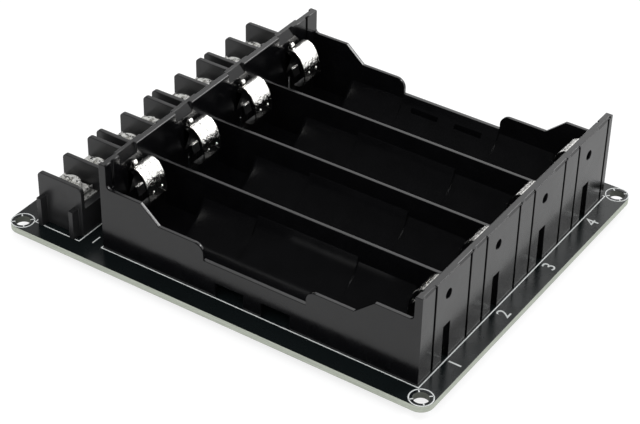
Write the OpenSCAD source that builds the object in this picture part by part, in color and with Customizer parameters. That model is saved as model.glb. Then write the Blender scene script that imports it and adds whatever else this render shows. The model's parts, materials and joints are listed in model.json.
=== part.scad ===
// Four-bay cylindrical cell holder: a circuit board that carries one moulded tray,
// two bent leaf contacts for each bay, and a row of barrier screw terminals.
// Heights in the notes are measured from the board's upper face.

/* [Cell] */
// Diameter of the cells
cell_d = 18; // [14:0.5:26]
// Length of the cells
cell_l = 65; // [50:0.5:70]
// Clearance on each side of a cell between the dividers
cell_fit = 0.15; // [0.1:0.05:0.5]
// Room for a leaf contact at each end of a cell
contact_room = 4.65; // [4.2:0.05:5.4]
// Clearance round a cell in the middle of its cradle
saddle_fit = 0.3; // [0.2:0.05:0.6]
// Clearance round a cell at the ends of its cradle
cradle_fit = 1; // [0.6:0.1:1.6]

/* [Board] */
// Thickness of the circuit board
board_t = 1.6; // [1:0.2:2.4]
// Radius of the board's corners
board_corner_r = 3; // [1:0.5:5]
// Board left free beyond each side wall of the tray
board_edge_side = 5; // [4:0.05:8]
// Board left free beyond the tray's end wall
board_edge_end = 4.95; // [4.5:0.05:8]
// Board left free beyond the terminal blocks
board_edge_row = 5.3; // [4.5:0.1:8]
// Least board left free beyond the ribs of the terminal row
board_edge_rib = 3.4; // [3:0.1:5]
// Distance from the board's edges to the centres of the mounting holes
hole_inset = 2.7; // [2.5:0.1:4]
// Diameter of the mounting holes
hole_d = 3.4; // [2.4:0.1:3.6]
// Diameter of the plated holes for the pins
pin_hole_d = 1.7; // [1.6:0.1:2]
// Length of the pins below the board
pin_out = 1.8; // [1:0.1:2.5]

/* [Tray] */
// Height of the end walls
tray_h = 21.4; // [20.6:0.1:24]
// Thickness of the end walls at their foot
end_t = 1.65; // [1.5:0.05:2.4]
// Outward lean of each end wall at its top
end_flare = 0.1; // [0:0.05:0.4]
// Thickness of the side walls
side_t = 0.85; // [0.8:0.05:1.6]
// Thickness of the dividers between the bays
divider_t = 0.85; // [0.8:0.05:1.6]
// Height of the dividers
divider_h = 12.2; // [9.5:0.1:14]
// Thickness of the floor
floor_t = 1; // [0.8:0.1:1.4]
// Gap between the terminal blocks and the tray
tray_gap = 5.75; // [4:0.05:8]

/* [Side wall outline] */
// Height of the low run in the middle
low_h = 8.1; // [7.4:0.1:9]
// Half length of the low run
low_half = 12.5; // [11.5:0.1:14]
// Radius of the step up from the low run
step_r = 2.3; // [1:0.1:3]
// Height of the middle shelf
shelf_h = 11.7; // [11:0.1:12.5]
// Distance from the end wall to the middle shelf
shelf_in = 13.4; // [12.5:0.1:15]
// Height of the shelf beside the end wall
upper_h = 15.7; // [14.5:0.05:17]
// Distance from the end wall to the end of that shelf
upper_in = 8.8; // [7:0.1:10]
// Radius between that shelf and the end wall
post_fillet_r = 0.9; // [0.4:0.1:1.5]

/* [Cradles] */
// Length of the flat pocket at each end of the bay
pocket_l = 9.8; // [8.5:0.1:11]
// Height of the cradle beside the dividers
cradle_h = 7.4; // [6.8:0.1:8]
// Wall left under the cradles where they are cored out
core_wall = 1; // [0.8:0.1:1.4]
// Radius of the soft edge where the cradle starts
cradle_edge_r = 1.2; // [0.6:0.1:1.6]

/* [Windows] */
// Length of each window at the foot of the side walls
window_l = 7; // [5:0.1:8]
// Height of the windows
window_h = 3.6; // [2.5:0.1:3.8]
// Distance between the centres of the two windows
window_pitch = 11.4; // [9:0.1:13]
// Place of the pair of windows along the side wall
window_x = -0.5; // [-1:0.1:1]
// Distance from the bay's centre to the slits in the cradle
slit_y = 7.6; // [7.2:0.1:7.8]
// Width of the slits
slit_w = 0.6; // [0.4:0.1:0.8]

/* [End wall details] */
// Width of the upright grooves in the outer face
groove_w = 0.7; // [0.5:0.1:1]
// Depth of the upright grooves
groove_depth = 0.6; // [0.3:0.1:0.9]
// Plain wall left above the grooves
groove_top = 0.35; // [0.3:0.05:2]
// Groove on one side of the bay's centre
groove_a = -4.9; // [-6:0.05:-4.5]
// Groove on the other side of the bay's centre
groove_b = 8.15; // [7:0.05:8.4]
// Groove in the inner face beside the first bay's centre
inner_groove_a = -7.6; // [-8.2:0.05:-6]
// Groove in the inner face beside the last bay's centre
inner_groove_b = 5.75; // [5.2:0.05:7]
// Depth of the grooves in the inner face
inner_groove_depth = 0.4; // [0.2:0.1:0.6]
// Height at which the inner grooves start
inner_groove_z = 15; // [12.4:0.1:17]
// Diameter of the round hole behind each contact
peep_d = 2.2; // [1.6:0.1:2.6]
// Height of that hole
peep_z = 16.5; // [15.5:0.1:17.2]
// Width of the slot that passes the contact's tail
tail_slot_w = 2.6; // [2.6:0.1:3.2]
// Height of that slot
tail_slot_h = 9; // [6:0.5:10]
// Chamfer on parts of the outer top edge
edge_chamfer = 0.45; // [0.2:0.05:0.6]
// Sharp run of the outer top edge beyond the bay's centre
edge_run = 3.5; // [2:0.1:6]
// Sharp run of the outer top edge over each divider
edge_tab = 1.2; // [0.6:0.1:2]
// Chamfer on the inner top edge
top_chamfer = 0.2; // [0.1:0.05:0.6]
// Depth of the lead-in ramp at the top of the wall
ramp_in = 0.9; // [0.6:0.1:1.1]
// Height of the lead-in ramp
ramp_h = 2.4; // [1.5:0.1:2.6]
// Start of the ramp from the bay's centre
ramp_a = -5.2; // [-6:0.1:-4]
// End of the ramp from the bay's centre
ramp_b = 0.5; // [-1:0.1:2]

/* [Leaf contacts] */
// Thickness of the contact strip
contact_t = 0.35; // [0.3:0.05:0.45]
// Width of the leaf
leaf_w = 6; // [5:0.1:7]
// Running gap between the contact and the wall that it stands against
contact_gap = 0.05; // [0.02:0.01:0.08]
// Distance from the wall to the leaf's crest
crest_in = 1.95; // [1.8:0.05:2.4]
// Distance from the crest to the leaf's front
leaf_reach = 3.6; // [3:0.1:4.2]
// Height of the leaf's front
leaf_mid_z = 10.7; // [9.5:0.1:11]
// Rise from the leaf's front to its crest
leaf_rise = 6.7; // [6:0.1:7.2]
// Radius of the curl below the leaf's front
curl_r = 2.2; // [1.6:0.1:2.6]
// Angle of the curl
curl_angle = 112; // [80:2:120]
// Height of the contact's shoulders
shoulder_z = 11.1; // [10.5:0.1:12]
// Width of the tongue at the shoulders
tongue_w = 2.4; // [2:0.1:3.4]
// Height of the tongue's root above the shoulders
tongue_z = 0.15; // [0.1:0.05:0.4]
// Distance that the tongue stands off its plate
tongue_out = 0.45; // [0.4:0.05:0.7]
// Outward lean of the tongue
tongue_lean = 0.6; // [0.3:0.1:0.8]
// Drop of the tongue
tongue_drop = 2; // [1.5:0.1:3]
// Clearance on each side of the contact's tail
tail_fit = 0.1; // [0.05:0.05:0.2]
// Width of the contact's pin
contact_pin_w = 1.2; // [0.9:0.1:1.4]
// Width of the hooked ear at the top
ear_w = 1.2; // [1:0.1:1.5]
// Inner edge of the ear from the bay's centre
ear_in = 0.9; // [0.6:0.1:1.2]
// Radius of the ear's hook
ear_r = 0.45; // [0.4:0.05:0.6]
// Height of the hook's centre
ear_z = 17.85; // [17.6:0.05:18.2]
// Height of the two contact dimples
dimple_z = 12.1; // [11.5:0.1:13]
// Distance of each dimple from the bay's centre
dimple_y = 1.4; // [1:0.1:1.8]
// Radius of the dimples
dimple_r = 0.6; // [0.4:0.05:0.7]
// Height of the dimples above the leaf
dimple_out = 0.2; // [0.1:0.05:0.3]

/* [Terminal blocks] */
// Distance between the two poles of a block
pole_pitch = 8.25; // [7.6:0.05:9.5]
// Thickness of the barriers
barrier_t = 1.1; // [0.9:0.1:1.4]
// Height of the barriers
barrier_h = 12.2; // [11:0.1:14]
// Depth of a block
block_d = 11.8; // [11:0.1:13.5]
// Corner radius of the barriers at the wire side
barrier_r_front = 1; // [0.5:0.1:1.6]
// Corner radius of the barriers at the tray side
barrier_r_rear = 1.4; // [0.5:0.1:1.6]
// Height of the deck under the terminal plates
deck_h = 5.5; // [5:0.1:6]
// Height of the rear ledge
ledge_h = 6.8; // [6.5:0.1:7.4]
// Depth of the rear ledge
ledge_d = 1.7; // [1.2:0.1:1.9]
// Depth of the spacer ribs between the blocks
rib_out = 2; // [1.5:0.1:3]
// Height of the spacer ribs
rib_h = 7; // [5:0.1:7.5]
// Width of the spacer ribs
rib_w = 1.2; // [0.8:0.1:1.5]
// Distance from the block's faces to its ribs
rib_in = 1; // [0.5:0.1:1.5]

/* [Terminal metal] */
// Thickness of the terminal plates
plate_t = 0.8; // [0.6:0.1:1]
// Clearance on each side of a terminal plate
plate_fit = 0.1; // [0.05:0.05:0.2]
// Distance from the block's front to the plate
plate_in = 0.4; // [0.2:0.1:1]
// Length of the terminal plates
plate_l = 9; // [8.4:0.1:9.4]
// Width of the plate's leg inside the block
leg_w = 3; // [2.4:0.1:4]
// Width of the terminal's pin
terminal_pin_w = 1.1; // [0.8:0.1:1.2]
// Distance from the block's front to the screw
screw_in = 4.5; // [4.3:0.1:5]
// Diameter of the screw's shank
screw_d = 2.9; // [2.4:0.1:3.2]
// Length of the screw's shank
screw_l = 5.9; // [4.5:0.1:6.3]
// Radial running clearance of the screw in its plate
screw_fit = 0.05; // [0.03:0.01:0.1]
// Diameter of the screw's head
head_d = 5.3; // [4.8:0.1:5.8]
// Height of the screw's head
head_h = 1.9; // [1.5:0.1:2.4]
// Edge radius of the screw's head
head_r = 0.6; // [0.3:0.1:0.9]
// Width of the slots in the head
drive_w = 0.8; // [0.6:0.1:1]
// Depth of the long slot in the head
slot_depth = 0.6; // [0.4:0.1:0.8]
// Depth of the cross in the head
cross_depth = 1.1; // [0.8:0.1:1.3]
// Length of the cross in the head
cross_l = 3.2; // [2.6:0.1:3.6]
// Thickness of the clamp washers
washer_t = 0.8; // [0.6:0.1:1]
// Width of the clamp washers
washer_w = 6.4; // [5.8:0.1:6.6]
// Length of the flat of the clamp washers
washer_flat = 6; // [5.9:0.1:6.6]
// Length over the clamp washers' lips
washer_l = 7.6; // [7.2:0.1:8]
// Rise of the clamp washers' lips
lip_rise = 0.65; // [0.4:0.05:0.9]
// Radial clearance of the clamp washer on its screw
washer_fit = 0.15; // [0.1:0.05:0.25]
// Radial clearance of the blind well below the screw
well_fit = 0.25; // [0.15:0.05:0.4]
// Clearance below the screw's tip in its well
well_deep = 0.6; // [0.3:0.1:0.7]

/* [Solder] */
// Radius of a solder joint on the board
solder_r = 1.5; // [1.2:0.1:1.7]
// Radius of a solder joint at its top
solder_tip_r = 0.8; // [0.75:0.05:0.9]
// Height of a solder joint
solder_h = 1.3; // [0.8:0.1:1.6]

/* [Hidden] */
$fn = 48;
BAYS = [1, 2, 3, 4];
POLES = [1, 2, 3, 4, 5, 6, 7, 8];
POLES_PER_BLOCK = 2;
END_SIDES = [-1, 1];
OVER = 1;
QUARTER = 90;
EDGE_STEPS = 5;
BEND_STEPS = 7;
LEAF_STEPS = 21;
CURL_STEPS = 14;
EAR_STEPS = 18;

// Tray and board, worked out from the cells and the blocks
bay_w = cell_d + 2 * cell_fit;
bay_l = cell_l + 2 * contact_room;
saddle_r = cell_d / 2 + saddle_fit;
cradle_r = cell_d / 2 + cradle_fit;
bay_pitch = bay_w + divider_t;
bay_half = bay_w / 2;
end_x = bay_l / 2;
tray_w = len(BAYS) * bay_pitch - divider_t + 2 * side_t;
tray_l = bay_l + 2 * end_t;
block_w = POLES_PER_BLOCK * pole_pitch + barrier_t;
block_pitch = block_w + rib_out;
block_count = len(POLES) / POLES_PER_BLOCK;
row_w = block_count * block_pitch - rib_out;
board_l = board_edge_row + block_d + tray_gap + tray_l + board_edge_end;
board_w = max(tray_w + 2 * board_edge_side, row_w + 2 * (rib_out + board_edge_rib));
board_top = pin_out + board_t;
block_x = board_edge_row - board_l / 2;
tray_x = block_x + block_d + tray_gap + tray_l / 2;
hole_x = board_l / 2 - hole_inset;
hole_y = board_w / 2 - hole_inset;

// Cradles: both round bottoms rest on the floor's upper face
cradle_z = floor_t + cradle_r;
saddle_z = floor_t + saddle_r;
cradle_half = end_x - pocket_l;
core_r = cradle_r + core_wall;

// Leaf contact: the bend leaves the wall and runs smoothly into the leaf
plate_u = contact_gap + contact_t / 2;
leaf_start_a = 105;
leaf_start_u = crest_in + leaf_reach * cos(leaf_start_a);
leaf_start_z = leaf_mid_z + leaf_rise * sin(leaf_start_a);
leaf_slope = atan2(-leaf_rise * cos(leaf_start_a), leaf_reach * sin(leaf_start_a));
bend_r = (leaf_start_u - plate_u) / (1 - sin(leaf_slope));
bend_z = leaf_start_z - bend_r * cos(leaf_slope);
crest_z = leaf_mid_z + leaf_rise;
tail_w = tail_slot_w - 2 * tail_fit;
ear_out = ear_in + ear_w;
ear_u = plate_u + ear_r;
ear_end_a = -80;
notch_fit = 0.1;
notch_u = ear_u + ear_r + contact_t / 2 + notch_fit;
dimple_u = crest_in + leaf_reach * sqrt(1 - pow((dimple_z - leaf_mid_z) / leaf_rise, 2));

// Terminals: the plate lies on the deck, the washer on the plate, the head on the washer
plate_w = pole_pitch - barrier_t - 2 * plate_fit;
leg_in = plate_in + plate_l - plate_t;
leg_mid = leg_in + plate_t / 2;
plate_top = deck_h + plate_t;
washer_top = plate_top + washer_t;
screw_tip = washer_top - screw_l;

function bay_y(i) = (i - (len(BAYS) + 1) / 2) * bay_pitch;
function block_y(i) = (i - (block_count + 1) / 2) * block_pitch;
function pole_block(i) = ceil(i / POLES_PER_BLOCK);
function pole_in_block(i) = i - (pole_block(i) - 1) * POLES_PER_BLOCK;
function pole_y(i) = block_y(pole_block(i))
    + (pole_in_block(i) - (POLES_PER_BLOCK + 1) / 2) * pole_pitch;

// Points on an arc of an ellipse; the first point may be skipped where arcs join
function arc(cu, cz, ru, rz, a0, a1, steps, first) =
    [for (i = [first:steps])
        let (a = a0 + (a1 - a0) * i / steps)
        [cu + ru * cos(a), cz + rz * sin(a)]];
// Unit normal of a path at one of its points
function normal(p, i) =
    let (d = p[min(i + 1, len(p) - 1)] - p[max(i - 1, 0)])
    [-d[1], d[0]] / norm(d);
// Outline of a strip of even thickness along a path
function strip(p, t) = concat(
    [for (i = [0:len(p) - 1]) p[i] + normal(p, i) * t / 2],
    [for (i = [len(p) - 1:-1:0]) p[i] - normal(p, i) * t / 2]);

leaf_path = concat(
    arc(plate_u + bend_r, bend_z, bend_r, bend_r, 2 * QUARTER, QUARTER + leaf_slope, BEND_STEPS, 0),
    arc(crest_in, leaf_mid_z, leaf_reach, leaf_rise, leaf_start_a, 0, LEAF_STEPS, 1),
    arc(crest_in + leaf_reach - curl_r, leaf_mid_z, curl_r, curl_r, 0, -curl_angle, CURL_STEPS, 1));
tongue_path = [
    [plate_u, shoulder_z + tongue_z],
    [plate_u + tongue_out, shoulder_z + tongue_z],
    [plate_u + tongue_out + tongue_lean, shoulder_z + tongue_z - tongue_drop]
];
ear_path = concat(
    [[plate_u, bend_z]],
    arc(ear_u, ear_z, ear_r, ear_r, 2 * QUARTER, ear_end_a, EAR_STEPS, 0));

// A box from one corner to the opposite one
module block(a, b) {
    translate(a) cube(b - a);
}

// An outline in the XZ plane, drawn from y0 to y1
module upright(y0, y1) {
    translate([0, y1, 0]) rotate([90, 0, 0]) linear_extrude(y1 - y0) children();
}

// A bar along X with a round section
module bar_x(x0, x1, y, z, r) {
    translate([x0, y, z]) rotate([0, 90, 0]) cylinder(h = x1 - x0, r = r);
}

// One end of the tray, as seen from the inner face of its end wall
module tray_end(side) {
    mirror([side > 0 ? 1 : 0, 0, 0]) translate([-end_x, 0, 0]) children();
}

module both_ends() {
    for (side = END_SIDES) tray_end(side) children();
}

// Outer face of an end wall at a height, which leans outward
function face_u(z) = -end_t - end_flare * z / tray_h;

module board_outline() {
    inner_l = board_l / 2 - board_corner_r;
    inner_w = board_w / 2 - board_corner_r;
    square([board_l, 2 * inner_w], center = true);
    square([2 * inner_l, board_w], center = true);
    for (x = [-inner_l, inner_l], y = [-inner_w, inner_w]) {
        translate([x, y]) circle(board_corner_r);
    }
}

module at_contact_pins() {
    for (side = END_SIDES, i = BAYS) {
        translate([tray_x + side * (end_x - plate_u), bay_y(i), 0]) children();
    }
}

module at_terminal_pins() {
    for (i = POLES) {
        translate([block_x + leg_mid, pole_y(i), 0]) children();
    }
}

module circuit_board() {
    color("#15171a") translate([0, 0, pin_out]) linear_extrude(board_t) difference() {
        board_outline();
        for (x = [-hole_x, hole_x], y = [-hole_y, hole_y]) {
            translate([x, y]) circle(d = hole_d);
        }
        at_contact_pins() circle(d = pin_hole_d);
        at_terminal_pins() circle(d = pin_hole_d);
    }
}

// Outline of one side wall between the end walls
module side_outline() {
    shelf_x = end_x - shelf_in;
    upper_x = end_x - upper_in;
    step_x = low_half + step_r;
    translate([-end_x, 0]) square([2 * end_x, low_h]);
    for (side = END_SIDES) {
        mirror([side < 0 ? 1 : 0, 0]) {
            translate([low_half, 0]) square([step_r, shelf_h - step_r]);
            translate([step_x, shelf_h - step_r]) circle(step_r);
            polygon([
                [step_x, 0],
                [step_x, shelf_h],
                [shelf_x, shelf_h],
                [upper_x, upper_h],
                [end_x, upper_h],
                [end_x, 0]
            ]);
            difference() {
                translate([end_x - post_fillet_r, upper_h]) square(post_fillet_r);
                translate([end_x - post_fillet_r, upper_h + post_fillet_r]) circle(post_fillet_r);
            }
        }
    }
}

module end_wall() {
    upright(-tray_w / 2, tray_w / 2) polygon([
        [0, 0],
        [0, tray_h - top_chamfer],
        [-top_chamfer, tray_h],
        [face_u(tray_h), tray_h],
        [face_u(0), 0]
    ]);
}

// Chamfer of the outer top edge from one place along the wall to another
module edge_cut(y0, y1) {
    upright(y0, y1) polygon([
        [face_u(tray_h) - OVER, tray_h - edge_chamfer - OVER],
        [face_u(tray_h) - OVER, tray_h + OVER],
        [face_u(tray_h) + edge_chamfer + OVER, tray_h + OVER]
    ]);
}

// Grooves, holes and slots of one end wall at one bay
module end_wall_cuts() {
    groove_end = tray_h - groove_top;
    tab_y = (bay_pitch - edge_tab) / 2;
    for (y = [groove_a, groove_b]) {
        upright(y - groove_w / 2, y + groove_w / 2) polygon([
            [face_u(-OVER) + groove_depth, -OVER],
            [face_u(groove_end) + groove_depth, groove_end],
            [face_u(groove_end) - OVER, groove_end],
            [face_u(-OVER) - OVER, -OVER]
        ]);
    }
    edge_cut(-tab_y, groove_a);
    edge_cut(edge_run, tab_y);
    bar_x(face_u(tray_h) - OVER, OVER, 0, peep_z, peep_d / 2);
    block(
        [face_u(tray_h) - OVER, -tail_slot_w / 2, -OVER],
        [contact_gap + contact_t + tail_fit, tail_slot_w / 2, tail_slot_h]
    );
}

// Upright grooves in the inner face of an end wall, near its two ends
module inner_grooves() {
    for (y = [bay_y(1) + inner_groove_a, bay_y(len(BAYS)) + inner_groove_b]) {
        block(
            [-inner_groove_depth, y - groove_w / 2, inner_groove_z],
            [OVER, y + groove_w / 2, tray_h + OVER]
        );
    }
}

// Ramp in the top of an end wall that leads a cell into its bay
module lead_in_ramp() {
    upright(ramp_a, ramp_b) polygon([
        [0, tray_h - ramp_h],
        [-ramp_in, tray_h],
        [-ramp_in, tray_h + OVER],
        [OVER, tray_h + OVER],
        [OVER, tray_h - ramp_h]
    ]);
}

// Round bottom of the cradle, which widens softly at both ends
module cradle_hollow() {
    edge_x = cradle_half - cradle_edge_r;
    profile = concat(
        [[0, 0], [cradle_r, 0]],
        [for (i = [0:EDGE_STEPS])
            let (a = QUARTER * i / EDGE_STEPS)
            [cradle_r + cradle_edge_r * (1 - cos(a)), edge_x + cradle_edge_r * sin(a)]],
        [[cradle_r + cradle_edge_r, cradle_half + OVER], [0, cradle_half + OVER]]
    );
    for (side = END_SIDES) {
        translate([0, 0, cradle_z]) rotate([0, side * 90, 0]) rotate_extrude() polygon(profile);
    }
}

// Space under the cradle, which is cored out for an even wall
module cradle_core() {
    core_half = cradle_half - cradle_edge_r - core_wall;
    difference() {
        block([-core_half, -bay_half, -OVER], [core_half, bay_half, cradle_h - core_wall]);
        bar_x(-core_half - OVER, core_half + OVER, 0, cradle_z, core_r);
    }
}

// Floor and cradle of one bay
module bay_bottom() {
    block([-end_x, -bay_half, 0], [end_x, bay_half, floor_t]);
    difference() {
        block([-cradle_half, -bay_half, 0], [cradle_half, bay_half, cradle_h]);
        cradle_hollow();
    }
    difference() {
        block([-low_half, -bay_half, 0], [low_half, bay_half, low_h]);
        bar_x(-low_half - OVER, low_half + OVER, 0, saddle_z, saddle_r);
    }
}

// Windows in one side wall and the slits that they meet in the cradle
module window_cuts() {
    side_y = tray_w / 2;
    wall_y = side_y - side_t;
    slit_out = wall_y - bay_half + slit_y;
    for (k = END_SIDES) {
        x = window_x + k * window_pitch / 2;
        block([x - window_l / 2, wall_y - OVER, -OVER], [x + window_l / 2, side_y + OVER, window_h]);
        block(
            [x - window_l / 2, slit_out, floor_t],
            [x + window_l / 2, slit_out + slit_w, low_h + OVER]
        );
    }
}

module cell_tray() {
    color("#1a1a1c") translate([tray_x, 0, board_top]) difference() {
        union() {
            both_ends() end_wall();
            for (y = [-tray_w / 2, tray_w / 2 - side_t]) {
                upright(y, y + side_t) side_outline();
            }
            for (i = [1:len(BAYS) - 1]) {
                y = bay_y(i) + bay_half;
                block([-end_x, y, 0], [end_x, y + divider_t, divider_h]);
            }
            for (i = BAYS) {
                translate([0, bay_y(i), 0]) bay_bottom();
            }
        }
        for (i = BAYS) {
            translate([0, bay_y(i), 0]) {
                cradle_core();
                both_ends() end_wall_cuts();
                tray_end(-1) lead_in_ramp();
            }
        }
        both_ends() inner_grooves();
        window_cuts();
        mirror([0, 1, 0]) window_cuts();
    }
}

// One bent contact, drawn from the inner face of the end wall towards the bay
module leaf_contact() {
    back_u = contact_gap;
    front_u = contact_gap + contact_t;
    difference() {
        upright(-leaf_w / 2, leaf_w / 2) polygon(strip(leaf_path, contact_t));
        block(
            [front_u, -ear_out - notch_fit, bend_z],
            [notch_u, -ear_in + notch_fit, crest_z + OVER]
        );
    }
    upright(-ear_out, -ear_in) polygon(strip(ear_path, contact_t));
    block([back_u, -leaf_w / 2, shoulder_z], [front_u, leaf_w / 2, bend_z]);
    upright(-tongue_w / 2, tongue_w / 2) polygon(strip(tongue_path, contact_t));
    block([back_u, -tail_w / 2, 0], [front_u, tail_w / 2, shoulder_z]);
    block([back_u, -contact_pin_w / 2, -board_top], [front_u, contact_pin_w / 2, 0]);
    for (y = [-dimple_y, dimple_y]) {
        translate([dimple_u + contact_t / 2 + dimple_out - dimple_r, y, dimple_z]) sphere(dimple_r);
    }
}

module contact(side, i) {
    color("#d9dadb") translate([tray_x, bay_y(i), board_top])
        tray_end(side) leaf_contact();
}

// Outline of a barrier, with its two top corners rounded
module barrier_outline() {
    square([block_d, barrier_h - max(barrier_r_front, barrier_r_rear)]);
    translate([0, barrier_h - 2 * barrier_r_front])
        square([block_d - barrier_r_rear, barrier_r_front]);
    translate([barrier_r_front, deck_h])
        square([block_d - barrier_r_front - barrier_r_rear, barrier_h - deck_h]);
    translate([barrier_r_front, barrier_h - barrier_r_front]) circle(barrier_r_front);
    translate([block_d - barrier_r_rear, barrier_h - barrier_r_rear]) circle(barrier_r_rear);
}

module terminal_block(i) {
    color("#17171a") translate([block_x, block_y(i), board_top]) difference() {
        union() {
            block([0, -block_w / 2, 0], [block_d, block_w / 2, deck_h]);
            block([block_d - ledge_d, -block_w / 2, 0], [block_d, block_w / 2, ledge_h]);
            for (k = [0:POLES_PER_BLOCK]) {
                y = k * pole_pitch - block_w / 2;
                upright(y, y + barrier_t) barrier_outline();
            }
            for (x = [rib_in + rib_w / 2, block_d - rib_in + rib_w / 2 - rib_w]) {
                block([x - rib_w / 2, -block_w / 2 - rib_out, 0], [x + rib_w / 2, -block_w / 2, rib_h]);
            }
        }
        for (k = [1:POLES_PER_BLOCK]) {
            translate([0, (k - (POLES_PER_BLOCK + 1) / 2) * pole_pitch, 0]) {
                translate([screw_in, 0, screw_tip - well_deep])
                    cylinder(h = deck_h, d = screw_d + 2 * well_fit);
                block(
                    [leg_in - plate_fit, -leg_w / 2 - plate_fit, -OVER],
                    [leg_in + plate_t + plate_fit, leg_w / 2 + plate_fit, deck_h + OVER]
                );
            }
        }
    }
}

module terminal_plate(i) {
    color("#c9cacc") translate([block_x, pole_y(i), board_top]) {
        difference() {
            block([plate_in, -plate_w / 2, deck_h], [plate_in + plate_l, plate_w / 2, plate_top]);
            translate([screw_in, 0, deck_h - OVER])
                cylinder(h = plate_t + 2 * OVER, r = screw_d / 2 + screw_fit);
        }
        block([leg_in, -leg_w / 2, 0], [leg_in + plate_t, leg_w / 2, deck_h]);
        block([leg_in, -terminal_pin_w / 2, -board_top], [leg_in + plate_t, terminal_pin_w / 2, 0]);
    }
}

// Square clamp washer with a lip turned up at both ends
module clamp_washer(i) {
    half = washer_l / 2;
    flat = washer_flat / 2;
    color("#cfd0d2") translate([block_x + screw_in, pole_y(i), board_top + plate_top]) difference() {
        upright(-washer_w / 2, washer_w / 2) polygon([
            [-flat, 0],
            [flat, 0],
            [half, lip_rise],
            [half, washer_t + lip_rise],
            [flat, washer_t],
            [-flat, washer_t],
            [-half, washer_t + lip_rise],
            [-half, lip_rise]
        ]);
        translate([0, 0, -OVER])
            cylinder(h = washer_t + 2 * OVER, r = screw_d / 2 + washer_fit);
    }
}

module terminal_screw(i) {
    color("#d4d5d7") translate([block_x + screw_in, pole_y(i), board_top + washer_top]) difference() {
        union() {
            translate([0, 0, -screw_l]) cylinder(h = screw_l + head_h / 2, d = screw_d);
            cylinder(h = head_h - head_r, d = head_d);
            cylinder(h = head_h, r = head_d / 2 - head_r);
            translate([0, 0, head_h - head_r]) rotate_extrude()
                translate([head_d / 2 - head_r, 0]) intersection() {
                    circle(head_r);
                    square(head_r);
                }
        }
        block([-head_d, -drive_w / 2, head_h - slot_depth], [head_d, drive_w / 2, head_h + OVER]);
        for (a = [0, 90]) {
            rotate([0, 0, a]) block(
                [-cross_l / 2, -drive_w / 2, head_h - cross_depth],
                [cross_l / 2, drive_w / 2, head_h + OVER]
            );
        }
    }
}

// One solder joint below the board, closed round a pin of the given section
module solder_joint(pin_x, pin_y) {
    translate([0, 0, pin_out - solder_h]) difference() {
        cylinder(h = solder_h, r1 = solder_tip_r, r2 = solder_r);
        block([-pin_x / 2, -pin_y / 2, -OVER], [pin_x / 2, pin_y / 2, solder_h + OVER]);
    }
}

module contact_solder() {
    color("#b8babd") at_contact_pins() solder_joint(contact_t, contact_pin_w);
}

module terminal_solder() {
    color("#b8babd") at_terminal_pins() solder_joint(plate_t, terminal_pin_w);
}

circuit_board();
cell_tray();
contact(-1, 1);  // contact_left_1
contact(-1, 2);  // contact_left_2
contact(-1, 3);  // contact_left_3
contact(-1, 4);  // contact_left_4
contact(1, 1);  // contact_right_1
contact(1, 2);  // contact_right_2
contact(1, 3);  // contact_right_3
contact(1, 4);  // contact_right_4
terminal_block(1);  // terminal_block_1
terminal_block(2);  // terminal_block_2
terminal_block(3);  // terminal_block_3
terminal_block(4);  // terminal_block_4
terminal_plate(1);  // terminal_plate_1
terminal_plate(2);  // terminal_plate_2
terminal_plate(3);  // terminal_plate_3
terminal_plate(4);  // terminal_plate_4
terminal_plate(5);  // terminal_plate_5
terminal_plate(6);  // terminal_plate_6
terminal_plate(7);  // terminal_plate_7
terminal_plate(8);  // terminal_plate_8
clamp_washer(1);  // clamp_washer_1
clamp_washer(2);  // clamp_washer_2
clamp_washer(3);  // clamp_washer_3
clamp_washer(4);  // clamp_washer_4
clamp_washer(5);  // clamp_washer_5
clamp_washer(6);  // clamp_washer_6
clamp_washer(7);  // clamp_washer_7
clamp_washer(8);  // clamp_washer_8
terminal_screw(1);  // terminal_screw_1
terminal_screw(2);  // terminal_screw_2
terminal_screw(3);  // terminal_screw_3
terminal_screw(4);  // terminal_screw_4
terminal_screw(5);  // terminal_screw_5
terminal_screw(6);  // terminal_screw_6
terminal_screw(7);  // terminal_screw_7
terminal_screw(8);  // terminal_screw_8
contact_solder();
terminal_solder();
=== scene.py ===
import json
import math

import bmesh
import bpy
from mathutils import Euler, Matrix, Vector

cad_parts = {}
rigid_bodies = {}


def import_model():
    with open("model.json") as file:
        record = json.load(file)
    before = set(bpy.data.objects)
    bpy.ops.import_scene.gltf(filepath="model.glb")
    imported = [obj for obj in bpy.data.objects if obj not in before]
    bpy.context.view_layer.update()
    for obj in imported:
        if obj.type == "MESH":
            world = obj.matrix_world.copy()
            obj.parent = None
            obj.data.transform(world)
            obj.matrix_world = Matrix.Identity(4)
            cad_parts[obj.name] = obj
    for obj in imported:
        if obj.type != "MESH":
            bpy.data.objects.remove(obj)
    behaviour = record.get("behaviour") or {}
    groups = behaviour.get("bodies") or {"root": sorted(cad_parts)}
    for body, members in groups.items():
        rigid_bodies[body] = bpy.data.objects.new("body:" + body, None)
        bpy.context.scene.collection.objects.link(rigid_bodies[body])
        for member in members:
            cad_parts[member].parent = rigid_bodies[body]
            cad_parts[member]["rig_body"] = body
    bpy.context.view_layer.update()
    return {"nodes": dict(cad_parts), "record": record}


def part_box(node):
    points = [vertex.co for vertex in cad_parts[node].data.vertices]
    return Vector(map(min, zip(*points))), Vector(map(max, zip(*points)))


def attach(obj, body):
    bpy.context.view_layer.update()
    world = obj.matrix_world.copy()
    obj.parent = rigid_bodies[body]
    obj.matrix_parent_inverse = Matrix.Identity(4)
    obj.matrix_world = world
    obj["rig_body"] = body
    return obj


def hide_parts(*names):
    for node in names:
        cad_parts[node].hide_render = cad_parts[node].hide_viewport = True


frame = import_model()

bl_info = {
    "name": "Cell holder looks",
    "version": (1, 1, 0),
    "blender": (4, 5, 0),
    "location": "3D View > Sidebar > Cell Holder",
    "description": "Dresses the packed cell holder: board, tray, contacts, terminals and stage",
    "category": "Object",
}

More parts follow.
